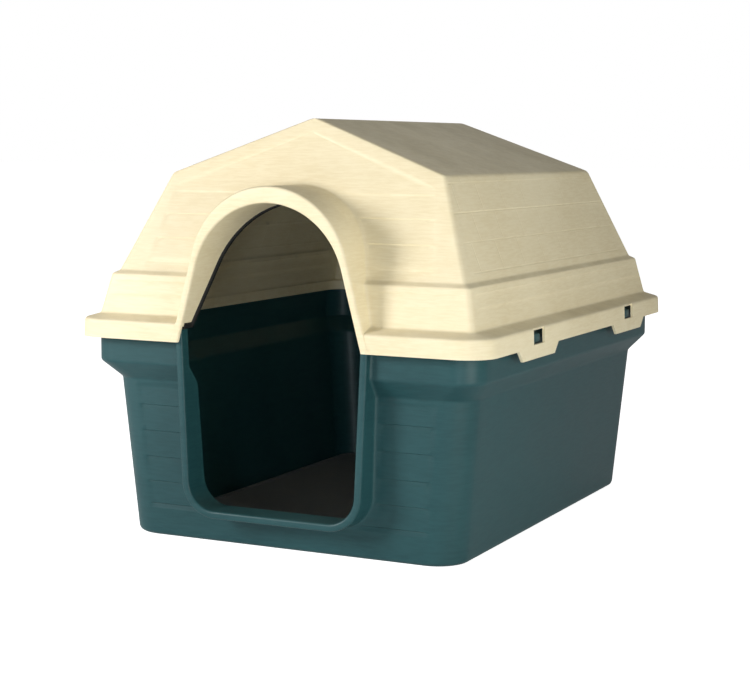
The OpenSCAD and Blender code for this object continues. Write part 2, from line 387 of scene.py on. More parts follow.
@dataclass
class Arch:
    """Round-headed arch with leaning legs, drawn in x and z.

    Args:
        radius: radius of its head.
        centre: height of the head's centre.
        lean: angle of its legs from upright, in radians.
    """

    radius: float
    centre: float
    lean: float = math.radians(15.0)

    def leg_x(self, z: Array, off: Array) -> Array:
        """Half width of the legs at height z, grown by off: r / cos + rise x tan."""
        return (self.radius + off) / math.cos(self.lean) + (self.centre - z) * math.tan(self.lean)

    def spring(self, off: float = 0.0) -> float:
        """Height at which the legs meet the head."""
        return self.centre + (self.radius + off) * math.sin(self.lean)

    def half_width(self, z: Array, off: Array) -> Array:
        """Half width at height z, grown by off: the leg, then the circle, then 0."""
        r = self.radius + off
        head = np.sqrt(np.clip(r**2 - (z - self.centre) ** 2, 0.0, None))
        head = np.where(z > self.centre + r, 0.0, head)
        return np.where(z <= self.centre + r * math.sin(self.lean), self.leg_x(z, off), head)

    def angle(self, z: Array, off: Array) -> Array:
        """Angle of the outline's normal above level at height z."""
        rise = (z - self.centre) / (self.radius + off)
        return np.maximum(np.arcsin(np.clip(rise, -1.0, 1.0)), self.lean)


@dataclass
class Roof:
    """Barn-shaped shell with a hood round the doorway, and the lip under its skirt."""

    half_w: float = HALF_W
    half_l: float = HALF_L
    wall: float = 4.0
    skirt_z: float = 299.0
    seat_z: float = RIM_Z
    band_z: float = 333.0
    panel_z: float = 396.0
    knee_z: float = 540.0
    ridge_z: float = 620.0
    gable_slope: float = math.tan(math.radians(22.5))
    hood: Arch = field(default_factory=lambda: Arch(127.0, 398.0))
    opening: Arch = field(default_factory=lambda: Arch(120.0, 381.0))
    fillet: float = 6.0
    face_round: float = 4.5
    mouth_round: float = 3.5
    lip_start: float = 162.0
    tab_y: float = TAB_Y
    tab_half: float = 63.0
    tab_top_half: float = 79.0
    tab_drop: float = 16.0
    window_half: float = 22.0
    window_low: float = 303.0
    board_lines: tuple[float, ...] = (404.0, 411.0, 446.0, 481.0, 514.0)
    board_top: float = 600.0
    board_depth: float = 1.0
    course_lines: tuple[float, ...] = (408.0, 448.0, 490.0, 529.0)
    course_depth: float = 0.45
    band_lines: tuple[float, ...] = (342.0, 362.0, 382.0)
    slope_rise: float = 0.3687
    inset_half: float = 228.0
    inset_lean: float = 0.175

    def profile(self) -> Array:
        """Rows of the outer surface from the skirt's edge to the ridge."""
        w, l = self.half_w, self.half_l
        rings = np.array([
            [w, l, 45.0, self.skirt_z],
            [w - 1, l - 1, 45.0, self.seat_z + 4],
            [w - 28, l - 28, 9.0, self.band_z],
            [w - 41, l - 41, 8.0, self.panel_z - 5],
            [w - 50, l - 50, 6.0, self.panel_z],
            [w - 107, self._gable_y(self.knee_z), 6.0, self.knee_z],
            [6.0, self._gable_y(self.ridge_z), 6.0, self.ridge_z - 0.05],
            [0.0, self._gable_y(self.ridge_z), 0.0, self.ridge_z],
        ])
        rows = Profile(rings, (4.5, 3.0, 2.2, 2.2, 5.0, 5.9)).rows()
        rows = rows[np.concatenate([[True], np.diff(rows[:, 3]) > 1e-6])]
        angles = np.radians(np.linspace(15.0, 90.0, 22))
        head = self.hood.centre + (self.hood.radius + self.fillet) * np.sin(angles)
        extra = np.concatenate([
            head,
            line_rows(self.board_lines[1:]),
            line_rows(self.course_lines),
            line_rows(self.band_lines, 0.8),
            [301.0, self.window_low, 310.0, 316.0, self.seat_z, 325.8, 328.5, 331.0],
            [599.0, 601.5],
            np.arange(338.0, 610.0, 9.0),
        ])
        return Profile.at_heights(rows, extra)

    def _gable_y(self, z: float) -> float:
        """Half length of the gables at height z, which lean back evenly."""
        return self.half_l - 50.0 - self.gable_slope * (z - self.panel_z)

    def _ground(self, rows: Array) -> Ground:
        """Columns that hit the inset's border, the tabs and their windows."""
        reach = rows[0, 1] - rows[0, 2]
        ends = [reach, reach - 16.0, reach - 18.5]
        offs = (self.window_half, self.tab_half, self.tab_top_half)
        tabs = [self.tab_y + sign * off for off in offs for sign in (-1, 1)]
        stops = {sign * y for y in ends + tabs for sign in (-1, 1)}
        side = spread(*sorted(stops), gap=13.0) / reach
        return Ground(self._front_shares(rows), side, np.linspace(1.0, 0.0, 26))

    def inset_x(self, z: Array) -> Array:
        """Half width of the inset on the gable: two straight edges under the slopes."""
        slope = np.maximum((self.board_top - z) / self.slope_rise, 0.0)
        return np.minimum(slope, self.inset_half - (z - self.board_lines[1]) * self.inset_lean)

    def boundary(self, z: Array) -> tuple[Array, Array]:
        """Where the gable's surface ends at the hood.

        Args:
            z: height of each row.

        Returns:
            The half width at each height, and the fillet's setback there. The
            setback is less than half of the hood's depth over the skirt.
        """
        rows = self._plain_rows
        depth = self.half_l - np.interp(z, rows[:, 3], rows[:, 1])
        off = np.minimum(self.fillet, 0.45 * depth)
        return self.hood.half_width(z, off), off

    def _front_shares(self, rows: Array) -> Array:
        """Shares of the way along the front, with one column on the inset's border."""
        inner, _ = self.boundary(rows[:, 3])
        span = np.maximum(rows[:, 0] - rows[:, 2] - inner, 1e-6)
        border = np.clip((self.inset_x(rows[:, 3]) - inner) / span, 0.02, 0.96)[:, None]
        low = rows[:, 3, None] < self.panel_z
        border = np.where(low, 0.72, border)
        edge = np.minimum(border + 2.5 / span[:, None], 0.98)
        inside = np.linspace(0.0, 1.0, 13)[None, :] * border
        outside = edge + np.linspace(0.0, 1.0, 6)[None, :] * (1.0 - edge)
        return np.concatenate([inside, outside], axis=1)

    def _relief(self, rows: Array, ground: Ground) -> Array:
        """Depth of the boards on the gables, the band and the courses at the sides."""
        z = rows[:, 3]
        lines = self.board_lines
        boards = lap_depth(z, (*lines[1:], self.board_top), self.board_depth)
        boards = np.where(z >= lines[-1], self.board_depth * 0.5, boards)
        boards = np.where(z < lines[1], self.board_depth * 0.6, boards)
        boards = boards * ((z > lines[0] - 4.0) & (z < self.board_top))
        band = lap_depth(z, self.band_lines, 0.45, 0.8)
        courses = lap_depth(z, self.course_lines, self.course_depth)
        return (np.outer(boards, ground.mask(front=(0, 13), rear=(-17, None)))
                + np.outer(band, ground.mask(front=(1, -1), rear=(1, None), side=(1, -2)))
                + np.outer(courses, ground.mask(side=(2, -3))))

    def _hang_tabs(self, points: Array, rows: Array) -> None:
        """Lowers the skirt's edge into four tabs: z falls by a trapezium in y."""
        off = np.abs(np.abs(points[..., 1]) - self.tab_y)
        run = self.tab_top_half - self.tab_half
        drop = self.tab_drop * np.clip((self.tab_top_half - off) / run, 0.0, 1.0)
        share = np.clip((self.window_low - rows[:, 3]) / 4.0, 0.0, 1.0)[:, None]
        at_side = np.abs(points[..., 0]) > self.half_w - 3.0
        points[..., 2] -= drop * share * at_side

    def _hood(self, rows: Array) -> Array:
        """Columns from the doorway's rear edge to the gable: rows x columns x 3.

        Each row runs back through the opening, round the front face's two
        edges, over the outer wall and down its fillet to the gable.
        """
        z = rows[:, 3]
        edge_x, off = self.boundary(z)
        angle = self.hood.angle(z, off)
        spring = self.hood.spring(self.fillet)
        on_leg = z <= spring
        shift = smooth_step((z - 335.0) / (spring - 335.0)) * math.sin(self.hood.lean)
        plain = self._plain_rows

        def outline(back: Array) -> tuple[Array, Array]:
            """Point on the outline at a distance back from the boundary."""
            leg_z = z - back * shift
            leg_x = self.hood.leg_x(leg_z, off - back)
            head_x = edge_x - back * np.cos(angle)
            head_z = z - back * np.sin(angle)
            return np.where(on_leg, leg_x, head_x), np.where(on_leg, leg_z, head_z)

        def gable(at_z: Array) -> Array:
            """The gable's y at a height."""
            return -np.interp(at_z, plain[:, 3], plain[:, 1])

        zero_x, zero_z = outline(off)
        room = np.maximum(self.half_l + gable(zero_z), 0.0)
        deep = np.minimum(off, 0.45 * room)
        round_r = np.minimum(self.face_round, 0.45 * room)
        front_y = -self.half_l + 0 * z
        columns: Columns = []
        for t in steps(6):
            x, at_z = outline(off * (1.0 - (1.0 - t) ** 2))
            columns.append((x, gable(at_z) - deep * t * t, at_z))
        start, end = columns[-1][1], front_y + round_r
        for t in steps(5):
            columns.append((zero_x, start + (end - start) * t, zero_z))
        for t in steps(4):
            x, at_z = outline(off + round_r * t * t)
            columns.append((x, end - round_r * (1.0 - (1.0 - t) ** 2), at_z))
        turn = np.clip((zero_z - self.skirt_z) / (self.hood.spring() - self.skirt_z), 0.0, 1.0)
        leg_z = self.skirt_z + turn * (self.opening.spring() - self.skirt_z)

        def inner(grow: float) -> tuple[Array, Array]:
            """Point on the opening's outline, grown by a distance."""
            head_x = (self.opening.radius + grow) * np.cos(angle)
            head_z = self.opening.centre + (self.opening.radius + grow) * np.sin(angle)
            lifted = leg_z + grow * math.sin(self.hood.lean) * turn
            leg_x = self.opening.leg_x(lifted, grow)
            return np.where(on_leg, leg_x, head_x), np.where(on_leg, lifted, head_z)

        edge = self.mouth_round
        face_x, _, face_z = columns[-1]
        rim_x, rim_z = inner(edge)
        for t in (0.34, 0.67, 1.0):
            columns.append((face_x + (rim_x - face_x) * t, front_y, face_z + (rim_z - face_z) * t))
        for t in steps(4):
            x, at_z = inner(edge * (1.0 - t) ** 2)
            columns.append((x, front_y + edge * t * t, at_z))
        x, at_z = inner(0.0)
        self._mouth = at_z
        rear = self.rear_y(at_z)
        for t in steps(6):
            columns.append((x, front_y + edge + (rear - front_y - edge) * t, at_z))
        made = np.array([np.stack(c, axis=-1) for c in columns[::-1]])
        return made.transpose(1, 0, 2)

    def rear_y(self, z: Array) -> Array:
        """Rear edge of the doorway's wall, 6 mm inside the gable."""
        return -(self.half_l - 50.0) + self.gable_slope * (z - self.panel_z) + self.wall + 6.0

    def shell(self) -> list[Patch]:
        """Both halves of the outer surface, with the hood and the tabs."""
        rows = self.profile()
        self._plain_rows = rows
        ground = self._ground(rows)
        inner, _ = self.boundary(rows[:, 3])
        points = ground.points(rows, inner)
        points = push_in(points, self._relief(rows, ground))
        self._hang_tabs(points, rows)
        hood = self._hood(rows)
        whole = np.concatenate([hood, points], axis=1)
        cells = np.ones((whole.shape[0] - 1, whole.shape[1] - 1), bool)
        above = inner[:-1] <= 0.0
        cells[np.ix_(above, np.arange(hood.shape[1]))] = False
        low = self._mouth[:-1] < self.seat_z - 0.6
        cells[np.ix_(low, np.arange(6))] = False
        y = points[0, :, 1]
        middle = (y[:-1] + y[1:]) / 2
        at_side = np.abs(points[0, :-1, 0]) > self.half_w - 1.5
        behind = (np.abs(np.abs(middle) - self.tab_y) < self.window_half) & at_side
        height = (rows[:-1, 3] > self.window_low - 0.3) & (rows[1:, 3] < self.seat_z + 4.2)
        window = np.zeros_like(cells)
        window[:, hood.shape[1]:] = height[:, None] & behind[None, :]
        cells &= ~window
        half = Patch(whole, cells)
        return [half, half.mirrored()]

    def lip(self) -> list[Patch]:
        """Lip inside the rim and the seat that rests on it, as one closed strip.

        Its section, as distances out from the rim and up from the seat, is
        carried round the rim from one side of the doorway to the other.
        """
        section = [
            (1.0, 0.2), (-6.6, 0.2), (-7.0, -0.2), (-7.0, -8.0), (-7.8, -9.0),
            (-10.2, -9.0), (-11.0, -8.0), (-11.0, 7.5), (-5.0, 7.5), (1.0, 6.0),
        ]
        rows = np.array([
            [RIM_W + out, RIM_L + out, 41.0 + out, self.seat_z + up] for out, up in section
        ])
        ground = Ground(np.linspace(0.0, 1.0, 8), np.linspace(-1.0, 1.0, 40),
                        np.linspace(1.0, -1.0, 40))
        inner = np.full(len(rows), self.lip_start)
        right = ground.points(rows, inner)
        left = right[:, : ground.parts()["rear"].start][:, ::-1] * MIRROR
        loop = np.concatenate([right, left], axis=1).transpose(1, 0, 2)
        return [Patch(loop, looped=True, capped=True)]

    def edging(self) -> list[Patch]:
        """Rubber edging: a rounded U carried round the rear edge of the doorway's wall.

        The path runs back along the foot of the wall, up one leg, over the
        head and down again. The section lies across the wall's thickness and
        along the direction in which the wall ends. Its very dark colour stands
        in for the band of shade round the inside of the doorway: painted shade.
        """
        middle = Arch(self.opening.radius + self.wall / 2, self.opening.centre)
        foot_z, rear_foot = self.seat_z, float(self.rear_y(self.seat_z))
        head = np.linspace(self.opening.lean, math.pi / 2, 30)
        leg_z = np.linspace(foot_z, middle.spring(), 12)[:-1]
        head_z = middle.centre + middle.radius * np.sin(head)
        z = np.concatenate([leg_z, head_z])
        x = np.concatenate([middle.leg_x(leg_z, 0.0), middle.radius * np.cos(head)])
        angle = np.concatenate([np.full(len(leg_z), self.opening.lean), head])
        turn = np.zeros_like(z)
        corner = np.linspace(math.pi / 2, 0.0, 8)[:-1]
        run_y = np.linspace(-self.half_l + 7.0, rear_foot, 5)[:-1]
        y = np.concatenate([run_y, np.full(len(corner), rear_foot), self.rear_y(z)])
        lead = len(run_y) + len(corner)
        x = np.concatenate([np.full(lead, x[0]), x])
        z = np.concatenate([np.full(lead, foot_z), z])
        angle = np.concatenate([np.full(lead, self.opening.lean), angle])
        turn = np.concatenate([np.full(len(run_y), math.pi / 2), corner, turn])
        spin = np.linspace(0.0, 2 * math.pi, 21)[:-1]
        across, along = (np.sign(v) * np.abs(v) ** 0.6 for v in (np.cos(spin), np.sin(spin)))
        across, along = 4.9 * across, 4.5 * along - 1.5
        out = np.stack([np.cos(angle), 0 * angle, np.sin(angle)], axis=-1)
        end = np.stack([0 * turn, np.cos(turn), -np.sin(turn)], axis=-1)
        path = np.stack([x, y, z], axis=-1)
        right = (path[:, None, :] + across[None, :, None] * out[:, None, :]
                 + along[None, :, None] * end[:, None, :])
        left = right[::-1] * MIRROR
        return [Patch(np.concatenate([right, left[1:]]), looped=True, capped=True)]


# ---------------------------------------------------------------- base


@dataclass
class Base:
    """Tapered tray with a framed doorway, boards on its ends and four catches."""

    wall: float = 4.0
    rim_z: float = RIM_Z
    foot_z: float = 9.0
    heel_in: float = 26.0
    recess: float = 3.0
    flare_in: float = 21.0
    flare_h: float = 26.0
    taper: tuple[float, float] = (21.0, 11.0)
    frame_y: float = -404.0
    frame_top_z: float = 316.0
    frame_w: float = 11.0
    frame_fillet: float = 5.0
    frame_round: float = 3.6
    door_half: float = 144.0
    door_lean: float = math.atan(12.0 / 266.0)
    sill_z: float = 56.0
    corner_r: float = 42.0
    board_lines: tuple[float, ...] = (42.0, 50.0, 84.0, 121.0, 160.0, 199.0, 238.0)
    board_depth: float = 1.2
    board_top: float = 228.0
    catch_y: float = TAB_Y
    catch_half: float = 14.0
    catch_gap: float = 0.6
    catch_z: tuple[float, float] = (305.0, 316.0)

    @property
    def foot_half(self) -> Array:
        """Half width and half length of the foot."""
        return np.array([RIM_W, RIM_L]) - self.flare_in - self.taper

    @property
    def heel_half(self) -> Array:
        """Half width and half length of the recess in the underside."""
        return self.foot_half - self.heel_in

    @property
    def corner_z(self) -> float:
        """Height of the centre of the opening's lower corners."""
        return self.sill_z + self.corner_r

    @property
    def corner_x(self) -> float:
        """Half distance between the centres of the opening's lower corners."""
        half = self.door_half - (self.rim_z - self.corner_z) * math.tan(self.door_lean)
        return half - self.corner_r / math.cos(self.door_lean)

    @property
    def margin(self) -> float:
        """Distance from the opening to where the frame's fillet meets the wall."""
        return self.frame_w + self.frame_fillet

    def rows(self) -> tuple[Array, int]:
        """Rows from the middle of the underside, round the foot and up to the rim.

        Returns:
            The rows, and the number of the first row above the foot's edge.
        """
        collar = np.array([RIM_W, RIM_L])
        flare = collar - self.flare_in
        heel_x, heel_y = self.heel_half
        collar_z = self.rim_z - COLLAR_DROP
        rings = np.array([
            [0.0, heel_y - heel_x, 0.0, self.recess], [heel_x, heel_y, 37.0, self.recess],
            [heel_x + 0.5, heel_y + 0.5, 37.0, 0.0], [*self.foot_half, 46.0, 0.0],
            [*flare, 46.0, collar_z - self.flare_h],
            [*collar, 40.0, collar_z], [*collar, 40.0, self.rim_z],
        ])
        rows = Profile(rings, (1.0, 1.0, 9.0, 2.6, 3.0), samples=6).rows()
        foot = int(np.argmax(rows[:, 3] > self.foot_z - 0.5))
        bend = np.radians(np.linspace(-90.0, -math.degrees(self.door_lean), 22))
        corner = self.corner_z + (self.corner_r + self.margin) * np.sin(bend)
        extra = np.concatenate([
            corner, line_rows(self.board_lines[1:-1]), [self.board_lines[0]],
            [self.board_top, self.board_top + 1.5, self.frame_top_z],
            np.arange(14.0, 320.0, 11.0),
        ])
        upper = Profile.at_heights(rows[foot:], extra)
        return np.concatenate([rows[:foot], upper]), foot

    def _edge_x(self, rows: Array) -> Array:
        """Where the front wall starts: beside the frame, or beside the sill's block."""
        z, reach = rows[:, 3], self.corner_r + self.margin
        leg = (self.door_half - (self.rim_z - z) * math.tan(self.door_lean)
               + self.margin / math.cos(self.door_lean))
        bend = self.corner_x + np.sqrt(np.clip(reach**2 - (z - self.corner_z) ** 2, 0.0, None))
        joined = self.corner_z - reach * math.sin(self.door_lean)
        x = np.where(z >= joined, leg, bend)
        under = z < self.sill_z - self.margin
        narrowing = np.minimum(rows[:, 0] / self.heel_half[0], 1.0)
        return np.where(under, self.corner_x * narrowing, x)

    def _frame(self, x: Array, z: Array, nx: Array, nz: Array, plain: Array) -> Array:
        """Columns of the doorway's frame along a stretch of the opening's outline.

        Each row runs from the inside of the wall forward through the opening,
        round the frame's face and back down its fillet to the wall.

        Args:
            x: x of each point on the outline.
            z: height of each point.
            nx: x of the outline's outward normal.
            nz: height of that normal.
            plain: rows of the wall, for its y at each height.
        """
        def wall_y(at_z: Array) -> Array:
            """The front wall's y at a height."""
            return -np.interp(at_z, plain[:, 3], plain[:, 1])

        def at(grow: float) -> tuple[Array, Array]:
            """Point on the outline, grown by a distance."""
            return x + grow * nx, z + grow * nz

        columns: Columns = []
        jamb_y = wall_y(z) + self.wall
        face = self.frame_y + self.frame_round
        for t in np.linspace(0.0, 1.0, 6):
            columns.append((x, jamb_y + (face - jamb_y) * t, z))
        for t in steps(5):
            px, pz = at(self.frame_round * t * t)
            columns.append((px, self.frame_y + self.frame_round * (1 - t) ** 2 + 0 * x, pz))
        outer = self.frame_w
        for t in np.linspace(0.0, 1.0, 6):
            px, pz = at(outer - self.frame_round * (1 - t) ** 2)
            columns.append((px, self.frame_y + self.frame_round * t * t + 0 * x, pz))
        px, pz = at(outer)
        back = wall_y(pz) - self.frame_fillet
        for t in steps(4):
            columns.append((px, face + (back - face) * t, pz))
        for t in steps(5)[:-1]:
            px, pz = at(outer + self.frame_fillet * t * t)
            columns.append((px, wall_y(pz) - self.frame_fillet * (1 - t) ** 2, pz))
        made = np.array([np.stack(c, axis=-1) for c in columns])
        return made.transpose(1, 0, 2)

    def _relief(self, rows: Array, foot: int, ground: Ground) -> Array:
        """Depth of the lapped boards on the front and the rear."""
        z = rows[:, 3]
        boards = lap_depth(z, self.board_lines, self.board_depth)
        boards = np.where(z > self.board_top + 1.0, 0.0, boards)
        boards[: foot + 1] = 0.0
        return np.outer(boards, ground.mask(front=(1, -1), rear=(1, None)))

    def shell(self) -> list[Patch]:
        """Both halves of the tray, with the block under the doorway and the frame."""
        rows, foot = self.rows()
        z = rows[:, 3]
        inner = self._edge_x(rows)
        span = np.maximum(rows[:, 0] - rows[:, 2] - inner, 1e-6)[:, None]
        first, last = np.minimum(3.0 / span, 0.1), 1.0 - np.minimum(3.0 / span, 0.1)
        front = first + (last - first) * np.linspace(0.0, 1.0, 14)[None, :]
        front = np.concatenate([0 * first, front, 0 * last + 1.0], axis=1)
        side = spread(-1.0, 1.0, gap=0.045)
        ground = Ground(front, side, spread(1.0, 0.965, 0.0, gap=0.05), corner=12)
        points = ground.points(rows, inner)
        plain = rows[foot:]
        walls = push_in(points, self._relief(rows, foot, ground))
        reach = self.corner_r + self.margin
        angle = np.arcsin(np.clip((z - self.corner_z) / reach, -1.0, 1.0))
        angle = np.minimum(angle, -self.door_lean)
        nx, nz = np.cos(angle), np.sin(angle)
        sweep = self._frame(inner - self.margin * nx, z - self.margin * nz, nx, nz, plain)
        whole = np.concatenate([sweep, walls], axis=1)
        cells = np.ones((whole.shape[0] - 1, whole.shape[1] - 1), bool)
        low = z[:-1] < self.sill_z - self.margin - 0.05
        high = z[:-1] > self.frame_top_z - 0.05
        low[: foot] = True
        cells[np.ix_(low | high, np.arange(sweep.shape[1]))] = False
        across = np.linspace(0.0, 1.0, 12)
        under = np.arange(len(rows)) < foot
        block_rows = under | (z <= self.sill_z - self.margin + 0.05)
        bx = inner[block_rows, None] * across[None, :]
        by = -rows[block_rows, 1, None] + 0 * bx
        block = np.stack([bx, by, rows[block_rows, 3, None] + 0 * bx], axis=-1)
        sill_x = self.corner_x * across
        sill = self._frame(sill_x, self.sill_z + 0 * sill_x, 0 * sill_x, 0 * sill_x - 1.0, plain)
        top = block[-1][:, None, :]
        halves = [Patch(whole, cells), Patch(block), Patch(np.concatenate([sill, top], axis=1))]
        return halves + [p.mirrored() for p in halves]

    def catches(self) -> list[Patch]:
        """Four catches: a profile with rounded tips carried along y, ends rounded."""
        t = np.linspace(0.0, 1.0, 5)[:, None]
        root_x, tip_x = RIM_W - 2.0, HALF_W - Roof.wall - self.catch_gap
        low, high = self.catch_z
        upper = bezier(np.array([tip_x - 2.0, high + 0.6]), np.array([tip_x, high]),
                       np.array([tip_x, high - 2.0]), t)
        lower = bezier(np.array([tip_x, low + 2.0]), np.array([tip_x, low]),
                       np.array([tip_x - 2.0, low - 0.2]), t)
        section = np.concatenate([[[root_x, high + 5.0]], upper, lower, [[root_x, low - 2.0]]])
        middle = np.array([root_x, 311.0])
        along = np.array([-1.0, -0.97, -0.9, -0.8, 0.8, 0.9, 0.97, 1.0])
        shrink = np.array([0.84, 0.93, 0.98, 1.0, 1.0, 0.98, 0.93, 0.84])
        shape = middle + (section - middle)[None] * shrink[:, None, None]
        patches = []
        for end in (-1.0, 1.0):
            y = end * self.catch_y + self.catch_half * along[:, None] + 0 * shape[..., 0]
            loop = np.stack([shape[..., 0], y, shape[..., 1]], axis=-1)
            patches.append(Patch(loop, looped=True, capped=True))
        return patches + [p.mirrored() for p in patches]


@dataclass
class Mat:
    """Loose rubber mat with a rounded edge and a channel round its border."""

    gap: float = 14.0
    low: float = 7.1
    high: float = 12.0

    def shell(self) -> list[Patch]:
        """Both halves of the closed mat, from the middle below to the middle above."""
        w, l = Base().foot_half - self.gap
        insets = [(0.0, self.low), (0.0, self.high), (9.0, self.high), (9.6, self.high - 1.0),
                  (13.4, self.high - 1.0), (14.0, self.high)]
        rings = [[w - d, l - d, max(33.0 - d, 18.0), z] for d, z in insets]
        rings = np.array([[0.0, 90.0, 0.0, self.low], *rings, [0.0, 90.0, 0.0, self.high]])
        rows = Profile(rings, (0.8, 1.8, 0.3, 0.3, 0.3, 0.3), samples=4).rows()
        ground = Ground(np.linspace(0, 1, 20), np.linspace(-1, 1, 50), np.linspace(1, 0, 20))
        half = Patch(ground.points(rows, np.zeros(len(rows))))
        return [half, half.mirrored()]


# ---------------------------------------------------------------- finishes


def put(tree: Any, kind: str, inputs: Optional[dict] = None, **settings: Any) -> Any:
    """Adds a node to a tree.

    Args:
        tree: the tree.
        kind: type of node.
        inputs: socket name or number, with the output that feeds it or its value.
        settings: the node's own properties.

    Returns:
        The new node.
    """
    node = tree.nodes.new(kind)
    for name, value in settings.items():
        setattr(node, name, value)
    return feed(tree, node, inputs or {})


def feed(tree: Any, node: Any, inputs: dict) -> Any:
    """Links or sets the inputs of a node and returns the node."""
    for key, value in inputs.items():
        if isinstance(value, bpy.types.NodeSocket):
            tree.links.new(value, node.inputs[key])
        else:
            node.inputs[key].default_value = value
    return node


def ramp(tree: Any, factor: Any, low: float, high: float, rise: bool = True) -> Any:
    """Output that goes from 0 to 1, or from 1 to 0, as a factor goes from low to high."""
    ends = (0.0, 1.0) if rise else (1.0, 0.0)
    node = put(tree, "ShaderNodeMapRange", {
        "Value": factor, "From Min": low, "From Max": high, "To Min": ends[0], "To Max": ends[1],
    }, interpolation_type="SMOOTHSTEP")
    return node.outputs["Result"]


def noise(tree: Any, vector: Any, **inputs: float) -> Any:
    """Output of a noise texture, with its other inputs by name."""
    return put(tree, "ShaderNodeTexNoise", {"Vector": vector, **inputs}).outputs["Fac"]


def facing(tree: Any, axis: str) -> Any:
    """Output of how far the surface faces along an axis, from -1 to 1."""
    normal = tree.nodes.new("ShaderNodeNewGeometry").outputs["Normal"]
    return put(tree, "ShaderNodeSeparateXYZ", {"Vector": normal}).outputs[axis]


def maths(tree: Any, operation: str, a: Any, b: Any = 0.0) -> Any:
    """Output of one sum."""
    node = put(tree, "ShaderNodeMath", {0: a, 1: b}, operation=operation)
    return node.outputs["Value"]


def bump(tree: Any, height: Any, depth_mm: float, strength: float, **inputs: Any) -> Any:
    """Output of a normal that a height from 0 to 1 bends, over a depth in millimetres."""
    return put(tree, "ShaderNodeBump", {
        "Height": height, "Distance": depth_mm * MILLIMETRE, "Strength": strength, **inputs,
    }).outputs["Normal"]


def mix(tree: Any, factor: Any, a: Any, b: Any) -> Any:
    """Output of two colours mixed."""
    node = put(tree, "ShaderNodeMix", data_type="RGBA")
    return feed(tree, node, {0: factor, 6: a, 7: b}).outputs[2]


class Group(Enum):
    """Shared effects, each a node group that is made once."""

    GRAIN = "moulded_grain"
    WEAR = "edge_wear"
    DUST = "settled_dust"
    SHAKES = "shake_joints"


